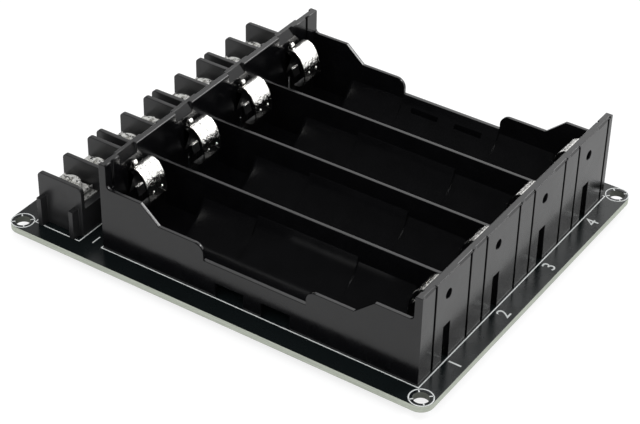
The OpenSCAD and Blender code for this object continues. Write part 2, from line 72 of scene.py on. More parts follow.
MM = 0.001
ROOT = "holder"
SIDES = ("left", "right")
BAYS = (1, 2, 3, 4)
BLOCKS = (1, 2, 3, 4)
POLES = (1, 2, 3, 4, 5, 6, 7, 8)

# Fixed proportions of small forms
CAPITAL_SHARE = 0.72  # of a font's size, the height of its digits
HEAD_SHARE = 0.9  # of a screw's reach, outside which only its head lies
HEAD_OVERLAP = 0.2 * MM
PIN_SLICE = 0.1 * MM
THREAD_ROWS = 7.0  # rows of faces in one turn of the thread
# The reach of the painted shade on the mounting holes' walls:
HOLE_WALL = 1.95 * MM  # from a hole's centre, inside which only its own wall lies

# How much finer a pattern is along X, Y and Z
CUT_STRETCH = (90.0, 90.0, 5200.0)
ROLLING_STRETCH = (240.0, 4200.0, 240.0)

# The studio; each fade is the part of a unit direction where it starts and ends
FLOOR_HALF = 3.0
FLOOR_GLOW = 0.8
FLOOR_CATCH = (0.24, 0.24, 0.24, 1.0)
HORIZON_HEIGHT = (0.3, 0.04)
HORIZON_SIDE = (-0.6, -0.35)
SOFTBOX_SIDE = (-0.7, -0.4)
SOFTBOX_BACK = (0.45, 0.62)
LIGHTS = (  # name, place, size and whether reflections show it
    ("overhead", (-0.15, -0.25, 0.75), 0.55, False),
    ("rim", (0.36, 0.605, 0.56), 0.24, True),
    ("front", (0.42, -0.40, 0.50), 0.22, True),
)


# Sizes and colours that a user would change

def length(name, note, value):
    return bpy.props.FloatProperty(
        name=name, description=note, default=value * MM, precision=6, subtype="DISTANCE", unit="LENGTH")


def colour(name, note, value):
    return bpy.props.FloatVectorProperty(
        name=name, description=note, default=value, size=3, min=0.0, max=1.0, subtype="COLOR")


def share(name, note, value):
    return bpy.props.FloatProperty(
        name=name, description=note, default=value, min=0.0, max=1.0, subtype="FACTOR")


def power(name, note, value):
    return bpy.props.FloatProperty(name=name, description=note, default=value, min=0.0, unit="POWER")


def place(name, note, value):
    return bpy.props.FloatVectorProperty(
        name=name, description=note, default=value, size=3, precision=5, subtype="XYZ", unit="LENGTH")


class BoardSettings(bpy.types.PropertyGroup):
    mask: colour("Solder mask", "Colour of the black solder mask", (0.0045, 0.0062, 0.0066))
    mask_gloss: share("Mask roughness", "Roughness of the solder mask", 0.26)
    laminate: colour("Laminate", "Colour of the cut glass-fibre edge", (0.52, 0.55, 0.47))
    edge: length("Edge radius", "Radius on the board's cut edges", 0.08)
    ink: colour("Print", "Colour of the printed lines", (0.74, 0.76, 0.75))
    ink_height: length("Print height", "Height of the ink above the mask", 0.02)
    line_width: length("Line width", "Width of the printed outlines", 0.27)
    tray_gap: length("Tray outline gap", "From the tray's foot to its printed outline", 0.22)
    row_gap: length("Row outline gap", "From the terminal row to its printed outline", 0.1)
    ring_radius: length("Ring radius", "Middle radius of the ring at each mounting hole", 2.5)
    tick_length: length("Tick length", "Length of the four ticks in each ring", 0.9)
    bar_length: length("Bar length", "Length of the short bar between tray and terminals", 2.5)
    digit_height: length("Digit height", "Height of the plain bay numbers", 3.0)


class TraySettings(bpy.types.PropertyGroup):
    plastic: colour("Plastic", "Colour of the black moulding", (0.0026, 0.0026, 0.003))
    gloss: share("Roughness", "Roughness of the moulded surface", 0.17)
    edge: length("Edge radius", "Radius on the moulding's edges", 0.1)


class ContactSettings(bpy.types.PropertyGroup):
    nickel: colour("Nickel", "Colour of the plated strip", (0.84, 0.83, 0.80))
    gloss: share("Roughness", "Roughness of the plating", 0.08)
    # Painted shade: the inside of each bend is drawn in this dark colour, as the shade there.
    dull: colour("Inside of the bend", "Colour of the dull inside of the bend", (0.05, 0.05, 0.05))
    edge: length("Edge radius", "Radius on the strip's edges", 0.06)
    bend_reach: length("Bend reach", "From the tray's middle to the middle of a bend", 35.2)
    bend_height: length("Bend height", "Height of the middle of a bend", 14.1)


class TerminalSettings(bpy.types.PropertyGroup):
    plastic: colour("Plastic", "Colour of the terminal blocks", (0.013, 0.013, 0.0135))
    plastic_edge: length("Plastic edge radius", "Radius on the blocks' edges", 0.12)
    # Partly the plating's own pale colour and partly painted sheen: on a mostly diffuse finish this
    # near-white stands in for the plating's reflections.
    metal: colour("Plating", "Colour of the screws and washers", (1.0, 0.99, 0.95))
    tin: colour("Tin", "Colour of the terminal plates", (0.74, 0.74, 0.71))
    edge: length("Edge radius", "Radius on the metal edges", 0.07)
    thread_pitch: length("Thread pitch", "Rise of the screw in one turn", 0.5)
    thread_depth: length("Thread depth", "Depth of the thread", 0.28)


class SolderSettings(bpy.types.PropertyGroup):
    solder: colour("Solder", "Colour of the solder", (0.68, 0.69, 0.69))
    pad_radius: length("Pad radius", "Radius of the pads below the board", 1.65)
    pad_height: length("Pad height", "Thickness of the tinned pads", 0.035)
    tip_radius: length("Tip radius", "Radius of a joint where it meets the pin", 0.72)


class StageSettings(bpy.types.PropertyGroup):
    floor: colour("Floor", "Colour of the pale floor", (0.82, 0.82, 0.82))
    room: colour("Room", "Light that comes from all round", (0.78, 0.79, 0.80))
    ceiling: share("Ceiling", "Brightness that shiny surfaces mirror from above", 0.05)
    softbox_level: bpy.props.FloatProperty(
        name="Softbox level", description="Brightness of the soft light that stands behind",
        default=2.2, min=0.0)
    overhead_power: power("Overhead light", "Power of the large soft light above", 1.6)
    rim_power: power("Rim light", "Power of the small soft light behind the object", 2.4)
    front_power: power("Front light", "Power of the soft light beside the camera", 0.5)
    lens: bpy.props.FloatProperty(
        name="Lens", description="Focal length of the camera", default=112.358, unit="CAMERA")
    camera_place: place("Camera place", "Where the camera stands", (0.19194, -0.29416, 0.25668))
    camera_turn: bpy.props.FloatVectorProperty(
        name="Camera turn", description="How the camera is turned", size=3,
        default=(math.radians(54.066), math.radians(-0.902), math.radians(33.907)),
        subtype="EULER", unit="ROTATION")


# Node trees

class Tree:
    """A node tree with named inputs, whose nodes are added in one line each."""

    def __init__(self, tree):
        self.tree = tree

    def add(self, kind, *links, **settings):
        """A new node; each link is (socket name or number, value or another node's socket)."""
        node = self.tree.nodes.new(kind)
        for key, value in settings.items():
            setattr(node, key, value)
        for socket, value in links:
            self.feed(node.inputs[socket], value)
        return node

    def feed(self, socket, value):
        if isinstance(value, bpy.types.NodeSocket):
            self.tree.links.new(value, socket)
        else:
            socket.default_value = value

    def math(self, operation, *values):
        return self.add(self.math_kind, *enumerate(values), operation=operation).outputs["Value"]

    math_kind = "ShaderNodeMath"

    def blend(self, mask, first, second):
        """A colour between two colours, each a value or another node's socket."""
        node = self.add("ShaderNodeMix", data_type="RGBA")
        self.feed(node.inputs["Factor"], mask)
        for socket, value in ((node.inputs["A"], first), (node.inputs["B"], second)):
            self.feed(socket, value if isinstance(value, bpy.types.NodeSocket) else (*value, 1.0))
        return node.outputs["Result"]


class ShapeTree(Tree):
    """A geometry tree that ends in one plain mesh with its material."""

    def __init__(self, name, inputs):
        super().__init__(bpy.data.node_groups.new(name, "GeometryNodeTree"))
        face = self.tree.interface
        face.new_socket("Geometry", in_out="INPUT", socket_type="NodeSocketGeometry")
        for label, value in inputs.items():
            socket = face.new_socket(label, in_out="INPUT", socket_type="NodeSocketFloat")
            socket.default_value = value
        face.new_socket("Material", in_out="INPUT", socket_type="NodeSocketMaterial")
        face.new_socket("Geometry", in_out="OUTPUT", socket_type="NodeSocketGeometry")
        self.given = self.tree.nodes.new("NodeGroupInput").outputs
        self.result = self.tree.nodes.new("NodeGroupOutput").inputs["Geometry"]

    def close(self, *parts):
        """Joins the parts, makes them real and gives them the material."""
        joined = self.add("GeometryNodeJoinGeometry")
        for part in parts:
            self.tree.links.new(part, joined.inputs["Geometry"])
        real = self.add("GeometryNodeRealizeInstances", ("Geometry", joined.outputs["Geometry"]))
        painted = self.add("GeometryNodeSetMaterial", ("Geometry", real.outputs["Geometry"]),
                           ("Material", self.given["Material"]))
        self.tree.links.new(painted.outputs["Geometry"], self.result)

    def profile(self, width, height):
        """A small upright rectangle that is swept along a printed line."""
        return self.add("GeometryNodeCurvePrimitiveQuadrilateral",
                        ("Width", width), ("Height", height)).outputs["Curve"]

    def sweep(self, curve, width, height):
        level = self.add("GeometryNodeSetCurveNormal", ("Curve", curve), mode="Z_UP")
        return self.add("GeometryNodeCurveToMesh", ("Curve", level.outputs["Curve"]),
                        ("Profile Curve", self.profile(width, height))).outputs["Mesh"]

    def vector(self, x, y, z):
        return self.add("ShaderNodeCombineXYZ", ("X", x), ("Y", y), ("Z", z)).outputs["Vector"]

    def moved(self, geometry, x=0.0, y=0.0, z=0.0):
        return self.add("GeometryNodeTransform", ("Geometry", geometry),
                        ("Translation", self.vector(x, y, z))).outputs["Geometry"]

    def at_points(self, points, instance, rotation=None):
        node = self.add("GeometryNodeInstanceOnPoints", ("Points", points), ("Instance", instance))
        if rotation is not None:
            self.tree.links.new(rotation, node.inputs["Rotation"])
        return node.outputs["Instances"]

    def position(self):
        where = self.add("GeometryNodeInputPosition").outputs["Position"]
        return self.add("ShaderNodeSeparateXYZ", ("Vector", where)).outputs

    def grown_mesh(self, name, points, values, material):
        """The finished mesh of this tree on the given points."""
        base = bpy.data.meshes.new(name + "_points")
        base.from_pydata([tuple(p) for p in points], [], [])
        holder = bpy.data.objects.new(name, base)
        bpy.context.scene.collection.objects.link(holder)
        grow = holder.modifiers.new("Shape", "NODES")
        grow.node_group = self.tree
        for item in self.tree.interface.items_tree:
            if item.in_out == "INPUT" and item.name in values:
                grow[item.identifier] = values[item.name]
            elif item.in_out == "INPUT" and item.name == "Material":
                grow[item.identifier] = material
        mesh = evaluated_mesh(holder)
        mesh.name = name
        bpy.data.objects.remove(holder)
        return mesh


def outline_tree():
    """A printed rectangle round each point, with mitred corners."""
    tree = ShapeTree("PrintedOutline", {"Length": 0.08, "Width": 0.08, "Line Width": 0.0003,
                                        "Ink Height": 2e-5})
    given = tree.given
    path = tree.add("GeometryNodeCurvePrimitiveQuadrilateral", ("Width", given["Length"]),
                    ("Height", given["Width"]))
    mitred = tree.math("MULTIPLY", given["Line Width"], math.sqrt(2.0))
    line = tree.sweep(path.outputs["Curve"], mitred, given["Ink Height"])
    tree.close(tree.at_points(given["Geometry"], line))
    return tree


def ring_tree():
    """A printed ring with four ticks round each mounting hole."""
    tree = ShapeTree("PrintedRing", {"Radius": 0.0025, "Tick Length": 0.001, "Line Width": 0.0003,
                                     "Ink Height": 2e-5})
    given = tree.given
    circle = tree.add("GeometryNodeCurvePrimitiveCircle", ("Resolution", 56), ("Radius", given["Radius"]))
    ring = tree.sweep(circle.outputs["Curve"], given["Line Width"], given["Ink Height"])
    tick = tree.add("GeometryNodeMeshCube", ("Size", tree.vector(
        given["Tick Length"], given["Line Width"], given["Ink Height"])))
    out = tree.math("SUBTRACT", given["Radius"], tree.math("DIVIDE", given["Tick Length"], 2.0))
    turns = tree.math("MULTIPLY_ADD", tree.add("GeometryNodeInputIndex").outputs["Index"],
                      math.pi / 2, math.pi / 4)
    middle = tree.add("GeometryNodePoints", ("Count", 4)).outputs["Points"]
    ticks = tree.at_points(middle, tree.moved(tick.outputs["Mesh"], out),
                           tree.vector(0.0, 0.0, turns))
    mark = tree.add("GeometryNodeJoinGeometry")
    for part in (ring, ticks):
        tree.tree.links.new(part, mark.inputs["Geometry"])
    tree.close(tree.at_points(given["Geometry"], mark.outputs["Geometry"]))
    return tree


def joint_tree():
    """A tinned pad with a hollow-sided solder joint hanging from each point."""
    tree = ShapeTree("SolderJoint", {"Base Radius": 0.0015, "Tip Radius": 0.0007, "Height": 0.0013,
                                     "Pad Radius": 0.0016, "Pad Height": 3e-5})
    given = tree.given
    pad = tree.add("GeometryNodeMeshCylinder", ("Vertices", 32), ("Radius", given["Pad Radius"]),
                   ("Depth", given["Pad Height"]))
    lower = tree.math("MULTIPLY", given["Pad Height"], -0.5)
    cone = tree.add("GeometryNodeMeshCylinder", ("Vertices", 28), ("Side Segments", 9),
                    ("Radius", 1.0), ("Depth", given["Height"]))
    x, y, z = tree.position()
    rise = tree.math("ADD", tree.math("DIVIDE", z, given["Height"]), 0.5)
    flare = tree.math("POWER", rise, 2.3)
    wide = tree.math("SUBTRACT", given["Base Radius"], given["Tip Radius"])
    radius = tree.math("MULTIPLY_ADD", wide, flare, given["Tip Radius"])
    shaped = tree.add("GeometryNodeSetPosition", ("Geometry", cone.outputs["Mesh"]),
                      ("Position", tree.vector(tree.math("MULTIPLY", x, radius),
                                               tree.math("MULTIPLY", y, radius), z)))
    drop = tree.math("MULTIPLY", given["Height"], -0.5)
    joint = tree.add("GeometryNodeJoinGeometry")
    for part in (tree.moved(pad.outputs["Mesh"], z=lower),
                 tree.moved(shaped.outputs["Geometry"], z=drop)):
        tree.tree.links.new(part, joint.inputs["Geometry"])
    tree.close(tree.at_points(given["Geometry"], joint.outputs["Geometry"]))
    return tree


def thread_tree():
    """A threaded shank below each point, with a short lead at its tip."""
    tree = ShapeTree("ScrewThread", {"Radius": 0.00145, "Length": 0.006, "Pitch": 0.0005,
                                     "Thread Depth": 0.0003, "Lead": 0.0006})
    given = tree.given
    turns = tree.math("DIVIDE", given["Length"], given["Pitch"])
    rows = tree.math("MULTIPLY", turns, THREAD_ROWS)
    shank = tree.add("GeometryNodeMeshCylinder", ("Vertices", 26), ("Side Segments", rows),
                     ("Radius", given["Radius"]), ("Depth", given["Length"]))
    x, y, z = tree.position()
    turn = tree.math("DIVIDE", tree.math("ARCTAN2", y, x), 2 * math.pi)
    along = tree.math("SUBTRACT", tree.math("DIVIDE", z, given["Pitch"]), turn)
    wave = tree.math("MULTIPLY", tree.math("ABSOLUTE", tree.math(
        "SUBTRACT", tree.math("FRACT", along), 0.5)), 2.0)
    groove = tree.add("ShaderNodeMapRange", ("Value", wave), ("From Min", 0.2), ("From Max", 0.85))
    cut = tree.math("DIVIDE", given["Thread Depth"], given["Radius"])
    kept = tree.math("SUBTRACT", 1.0, tree.math("MULTIPLY", groove.outputs["Result"], cut))
    half = tree.math("MULTIPLY", given["Length"], -0.5)
    lead = tree.add("ShaderNodeMapRange", ("Value", z), ("From Min", half),
                    ("From Max", tree.math("ADD", half, given["Lead"])), ("To Min", 0.74))
    size = tree.math("MULTIPLY", kept, lead.outputs["Result"])
    shaped = tree.add("GeometryNodeSetPosition", ("Geometry", shank.outputs["Mesh"]),
                      ("Position", tree.vector(tree.math("MULTIPLY", x, size),
                                               tree.math("MULTIPLY", y, size), z)))
    lowered = tree.moved(shaped.outputs["Geometry"], z=half)
    tree.close(tree.at_points(given["Geometry"], lowered))
    return tree


# Shader node groups and materials

class MaskTree(Tree):
    """A shader node group that puts out one changing value."""

    def __init__(self, name, inputs, output):
        super().__init__(bpy.data.node_groups.new(name, "ShaderNodeTree"))
        face = self.tree.interface
        face.new_socket("Vector", in_out="INPUT", socket_type="NodeSocketVector")
        for label, value in inputs.items():
            socket = face.new_socket(label, in_out="INPUT", socket_type="NodeSocketFloat")
            socket.default_value = value
        face.new_socket(output, in_out="OUTPUT", socket_type="NodeSocketFloat")
        self.given = self.tree.nodes.new("NodeGroupInput").outputs
        self.result = self.tree.nodes.new("NodeGroupOutput").inputs[output]

    def noise(self, vector, scale, detail, roughness):
        return self.add("ShaderNodeTexNoise", ("Vector", vector), ("Scale", scale),
                        ("Detail", detail), ("Roughness", roughness)).outputs["Fac"]

    def spread(self, value, low, high, to_low, to_high):
        return self.add("ShaderNodeMapRange", ("Value", value), ("From Min", low), ("From Max", high),
                        ("To Min", to_low), ("To Max", to_high)).outputs["Result"]


def grain_group():
    """Fine texture of a mould's steel: a height for Bump."""
    tree = MaskTree("MouldGrain", {"Scale": 4000.0}, "Height")
    tree.feed(tree.result, tree.noise(tree.given["Vector"], tree.given["Scale"], 3.0, 0.6))
    return tree.tree


def cloudy_group():
    """Slow change over a surface between a low and a high value."""
    tree = MaskTree("CloudyValue", {"Scale": 120.0, "Low": 0.3, "High": 0.4}, "Value")
    slow = tree.noise(tree.given["Vector"], tree.given["Scale"], 4.0, 0.6)
    tree.feed(tree.result, tree.spread(slow, 0.3, 0.7, tree.given["Low"], tree.given["High"]))
    return tree.tree


def layered_group():
    """Thin level layers, as in the cut edge of a laminate: a mask from 0 to 1."""
    tree = MaskTree("CutLayers", {"Scale": 1.0}, "Mask")
    squashed = tree.add("ShaderNodeVectorMath", (0, tree.given["Vector"]), (1, CUT_STRETCH),
                        operation="MULTIPLY")
    layers = tree.noise(squashed.outputs["Vector"], tree.given["Scale"], 3.0, 0.7)
    tree.feed(tree.result, tree.spread(layers, 0.3, 0.7, 0.0, 1.0))
    return tree.tree


def rolled_group():
    """Fine lines across a rolled metal strip: a mask from 0 to 1."""
    tree = MaskTree("RollingLines", {"Scale": 1.0}, "Mask")
    squashed = tree.add("ShaderNodeVectorMath", (0, tree.given["Vector"]), (1, ROLLING_STRETCH),
                        operation="MULTIPLY")
    tree.feed(tree.result, tree.noise(squashed.outputs["Vector"], tree.given["Scale"], 3.0, 0.6))
    return tree.tree


def bend_group():
    """The inside of the bends at both ends of the tray, where shade is painted: a mask from 0 to 1."""
    tree = MaskTree("BendInside", {"Middle": 0.009, "Reach": 0.035, "Height": 0.014}, "Mask")
    point = tree.add("ShaderNodeSeparateXYZ", ("Vector", tree.given["Vector"])).outputs
    normal = tree.add("ShaderNodeNewGeometry").outputs["Normal"]
    facing = tree.add("ShaderNodeSeparateXYZ", ("Vector", normal)).outputs
    offset = tree.math("SUBTRACT", point["X"], tree.given["Middle"])
    inward = tree.math("SUBTRACT", tree.given["Reach"], tree.math("ABSOLUTE", offset))
    rise = tree.math("SUBTRACT", tree.given["Height"], point["Z"])
    outward = tree.math("MULTIPLY", facing["X"], tree.math("SIGN", offset))
    centre = tree.add("ShaderNodeCombineXYZ", ("X", inward), ("Z", rise)).outputs["Vector"]
    level = tree.add("ShaderNodeVectorMath", (0, centre), operation="NORMALIZE").outputs["Vector"]
    face = tree.add("ShaderNodeCombineXYZ", ("X", outward), ("Z", facing["Z"])).outputs["Vector"]
    facing_in = tree.add("ShaderNodeVectorMath", (0, level), (1, face),
                         operation="DOT_PRODUCT").outputs["Value"]
    tree.feed(tree.result, tree.spread(facing_in, 0.1, 0.35, 0.0, 1.0))
    return tree.tree


GROUP_MAKERS = {
    "BendInside": bend_group,
    "MouldGrain": grain_group,
    "CloudyValue": cloudy_group,
    "CutLayers": layered_group,
    "RollingLines": rolled_group,
}
GROUPS = {}


class Finish(Tree):
    """A new material with its Principled BSDF and Object coordinates."""

    def __init__(self, name, **values):
        self.material = bpy.data.materials.new(name)
        self.material.use_nodes = True
        super().__init__(self.material.node_tree)
        self.bsdf = self.tree.nodes["Principled BSDF"]
        self.place = self.add("ShaderNodeTexCoord").outputs["Object"]
        for label, value in values.items():
            self.bsdf.inputs[label.replace("_", " ")].default_value = value

    def group(self, name, **values):
        if name not in GROUPS:
            GROUPS[name] = GROUP_MAKERS[name]()
        node = self.add("ShaderNodeGroup", node_tree=GROUPS[name])
        self.feed(node.inputs["Vector"], self.place)
        for label, value in values.items():
            node.inputs[label].default_value = value
        return node.outputs[0]

    def shader(self, label, value):
        self.feed(self.bsdf.inputs[label], value)

    def bumps(self, *layers):
        """Bump nodes one after another; each layer is (height, strength, distance)."""
        normal = None
        for height, strength, distance in layers:
            node = self.add("ShaderNodeBump", ("Height", height), ("Strength", strength),
                            ("Distance", distance))
            if normal is not None:
                self.feed(node.inputs["Normal"], normal)
            normal = node.outputs["Normal"]
        self.shader("Normal", normal)


def shaded(colour_value, factor):
    return [min(1.0, c * factor) for c in colour_value]


def moulded_plastic(name, base, roughness):
    finish = Finish(name, Specular_IOR_Level=0.38)
    finish.shader("Roughness", finish.group("CloudyValue", Scale=90.0, Low=roughness - 0.03,
                                            High=roughness + 0.05))
    tint = finish.group("CloudyValue", Scale=260.0, Low=0.0, High=1.0)
    finish.shader("Base Color", finish.blend(tint, base, shaded(base, 1.5)))
    finish.bumps((finish.group("MouldGrain", Scale=55.0), 1.0, 0.12 * MM),
                 (finish.group("MouldGrain", Scale=5200.0), 0.35, 0.01 * MM))
    return finish.material


def plated_metal(name, base, roughness, pebble, metallic=1.0, shade_fleck=0.0, dull=None, **bend):
    """Plating over rolled metal; pebble is its unevenness, and a fleck strength above 0 adds dark flecks
    painted as shade.

    A colour for the inside of a bend paints shade there; the rest of the values give the bend's middle.
    """
    finish = Finish(name, Metallic=metallic)
    lines = finish.group("RollingLines")
    spread = finish.add("ShaderNodeMapRange", ("Value", lines), ("To Min", roughness - 0.05),
                        ("To Max", roughness + 0.1))
    cloud = finish.group("CloudyValue", Scale=800.0, Low=0.0, High=1.0)
    tint, rough = finish.blend(cloud, shaded(base, 0.9), base), spread.outputs["Result"]
    tint = finish.blend(finish.math("MULTIPLY", lines, 0.6), tint, shaded(base, 0.6))
    # Painted shade: dark flecks stand for the reflections that the shade round the part takes away.
    if shade_fleck:
        shade_flecks = finish.group("CloudyValue", Scale=1300.0, Low=-3.4 * shade_fleck, High=2.6 * shade_fleck)
        tint = finish.blend(shade_flecks, tint, shaded(base, 0.06))
    # Painted shade inside the bends: the colour there is darkened as shade, and the roughness rises.
    if dull:
        inside = finish.group("BendInside", **bend)
        tint = finish.blend(inside, tint, dull)
        rough = finish.math("MAXIMUM", rough, finish.math("MULTIPLY", inside, 0.4))
    finish.shader("Base Color", tint)
    finish.shader("Roughness", rough)
    finish.bumps((finish.group("MouldGrain", Scale=330.0), 1.0, 2.2 * pebble),
                 (finish.group("MouldGrain", Scale=1300.0), 1.0, pebble),
                 (lines, 0.3, 0.004 * MM))
    return finish.material


def near_holes(finish):
    """A mask that is 1 on the walls of the four mounting holes, where shade is painted."""
    folded = finish.add("ShaderNodeVectorMath", (0, finish.place), operation="ABSOLUTE")
    point = finish.add("ShaderNodeSeparateXYZ", ("Vector", folded.outputs["Vector"])).outputs
    corner = max(hole_centres(0.0), key=lambda centre: centre.x + centre.y)
    flat = finish.add("ShaderNodeCombineXYZ", ("X", point["X"]), ("Y", point["Y"])).outputs["Vector"]
    away = finish.add("ShaderNodeVectorMath", (0, flat), (1, corner), operation="DISTANCE")
    return finish.math("LESS_THAN", away.outputs["Value"], HOLE_WALL)


def board_finish(settings):
    mask, laminate = tuple(settings.mask), tuple(settings.laminate)
    finish = Finish("black_solder_mask", Specular_IOR_Level=0.26)
    normal = finish.add("ShaderNodeNewGeometry").outputs["Normal"]
    upright = finish.math("ABSOLUTE", finish.add(
        "ShaderNodeSeparateXYZ", ("Vector", normal)).outputs["Z"])
    side = finish.math("LESS_THAN", upright, 0.3)
    cut = finish.blend(finish.group("CutLayers"), shaded(laminate, 0.66), laminate)
    # Painted shade: the walls of the mounting holes are drawn at 0.22 of the laminate's colour, as the
    # shade inside them.
    cut = finish.blend(near_holes(finish), cut, shaded(laminate, 0.22))
    cloud = finish.group("CloudyValue", Scale=60.0, Low=0.0, High=1.0)
    top = finish.blend(cloud, mask, shaded(mask, 1.35))
    finish.shader("Base Color", finish.blend(side, top, cut))
    gloss = finish.group("CloudyValue", Scale=200.0, Low=settings.mask_gloss - 0.03,
                         High=settings.mask_gloss + 0.05)
    finish.shader("Roughness", finish.math("MAXIMUM", gloss, finish.math("MULTIPLY", side, 0.72)))
    finish.bumps((finish.group("MouldGrain", Scale=70.0), 1.0, 0.05 * MM),
                 (finish.group("MouldGrain", Scale=2200.0), 0.3, 0.012 * MM))
    return finish.material


def ink_finish(settings):
    ink = tuple(settings.ink)
    finish = Finish("white_print")
    worn = finish.group("CloudyValue", Scale=900.0, Low=0.0, High=1.0)
    finish.shader("Base Color", finish.blend(worn, shaded(ink, 0.84), ink))
    finish.shader("Roughness", finish.group("CloudyValue", Scale=400.0, Low=0.45, High=0.6))
    return finish.material


def solder_finish(settings):
    solder = tuple(settings.solder)
    finish = Finish("solder", Metallic=1.0)
    finish.shader("Roughness", finish.group("CloudyValue", Scale=1200.0, Low=0.16, High=0.4))
    tint = finish.group("CloudyValue", Scale=900.0, Low=0.0, High=1.0)
    finish.shader("Base Color", finish.blend(tint, shaded(solder, 0.75), solder))
    finish.bumps((finish.group("MouldGrain", Scale=1600.0), 0.6, 0.02 * MM))
    return finish.material


# Pieces

def slot_name(node):
    for row in frame["record"]["subparts"]:
        if row["node"] == node:
            return row["material_slot"]
    raise KeyError(node)


def show_piece(mesh, name, material, body, replaces=()):
    piece = bpy.data.objects.new(name, mesh)
    bpy.context.scene.collection.objects.link(piece)
    mesh.materials.clear()
    mesh.materials.append(material)
    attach(piece, body)
    if replaces:
        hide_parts(*replaces)
    return piece


def evaluated_mesh(piece):
    view = bpy.context.evaluated_depsgraph_get()
    return bpy.data.meshes.new_from_object(piece.evaluated_get(view))


def welded_copy(node, keep_above=None):
    """The CAD node's solid as one closed mesh of flat faces; a part below a height may be left off."""
    mesh = frame["nodes"][node].data.copy()
    work = bmesh.new()
    work.from_mesh(mesh)
    bmesh.ops.remove_doubles(work, verts=work.verts, dist=2e-7)
    if keep_above is not None:
        everything = work.verts[:] + work.edges[:] + work.faces[:]
        bmesh.ops.bisect_plane(work, geom=everything, dist=1e-7, plane_co=(0, 0, keep_above),
                               plane_no=(0, 0, 1), clear_inner=True)
        bmesh.ops.holes_fill(work, edges=[e for e in work.edges if e.is_boundary])
    bmesh.ops.dissolve_limit(
        work, angle_limit=math.radians(0.4), verts=work.verts, edges=work.edges)
    bmesh.ops.recalc_face_normals(work, faces=work.faces)
    for face in work.faces:
        face.smooth = True
    work.to_mesh(mesh)
    work.free()
    return mesh


def rounded_copy(node, edge, angle=19.0, segments=2, **options):
    """The CAD node's solid with its sharp edges rounded, as a new mesh."""
    holder = bpy.data.objects.new("rounding", welded_copy(node, **options))
    bpy.context.scene.collection.objects.link(holder)
    bevel = holder.modifiers.new("Edges", "BEVEL")
    bevel.width = edge
    bevel.segments = segments
    bevel.limit_method = "ANGLE"
    bevel.angle_limit = math.radians(angle)
    bevel.use_clamp_overlap = False
    flat = holder.modifiers.new("Flat faces", "WEIGHTED_NORMAL")
    flat.weight = 60
    result = evaluated_mesh(holder)
    bpy.data.objects.remove(holder)
    return result


def body_name(node):
    return frame["nodes"][node]["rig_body"]


def replace_rounded(node, piece_name, material, edge, **options):
    return show_piece(rounded_copy(node, edge, **options), piece_name, material,
                      body_name(node), (node,))


def middle_of(node):
    low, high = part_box(node)
    return (low + high) / 2


def hole_centres(z):
    for mount in frame["record"]["mounts"]:
        if mount["name"] == "board_holes":
            dx = mount["dims"]["spacing_x_mm"] * MM / 2
            dy = mount["dims"]["spacing_y_mm"] * MM / 2
            return [Vector((sx * dx, sy * dy, z)) for sx in (-1, 1) for sy in (-1, 1)]
    raise KeyError("board_holes")


def digit_mesh(text, height, thickness, centre):
    """A plain number that stands on the board's edge side, read along +Y."""
    curve = bpy.data.curves.new("digit", "FONT")
    curve.body = text
    curve.size = height / CAPITAL_SHARE
    curve.extrude = thickness / 2
    curve.align_x = "CENTER"
    curve.align_y = "CENTER"
    holder = bpy.data.objects.new("digit", curve)
    bpy.context.scene.collection.objects.link(holder)
    mesh = evaluated_mesh(holder)
    bpy.data.objects.remove(holder)
    mesh.transform(Matrix.Translation(centre) @ Euler((0, 0, math.pi / 2)).to_matrix().to_4x4())
    return mesh


def bar_mesh(name, low, high):
    """A short printed bar between two corners."""
    work = bmesh.new()
    made = bmesh.ops.create_cube(work, size=1.0)["verts"]
    size = Matrix.Diagonal((*(high - low), 1.0))
    bmesh.ops.transform(work, matrix=Matrix.Translation((low + high) / 2) @ size, verts=made)
    mesh = bpy.data.meshes.new(name)
    work.to_mesh(mesh)
    work.free()
    return mesh


class CELLHOLDER_OT_board(bpy.types.Operator):
    """Rounds the board's edges and gives it its mask and its cut sides"""
    bl_idname = "cellholder.board"
    bl_label = "Dress Board"

    def execute(self, context):
        settings = context.scene.cellholder_board
        replace_rounded("circuit_board", "board", board_finish(settings), settings.edge)
        return {"FINISHED"}


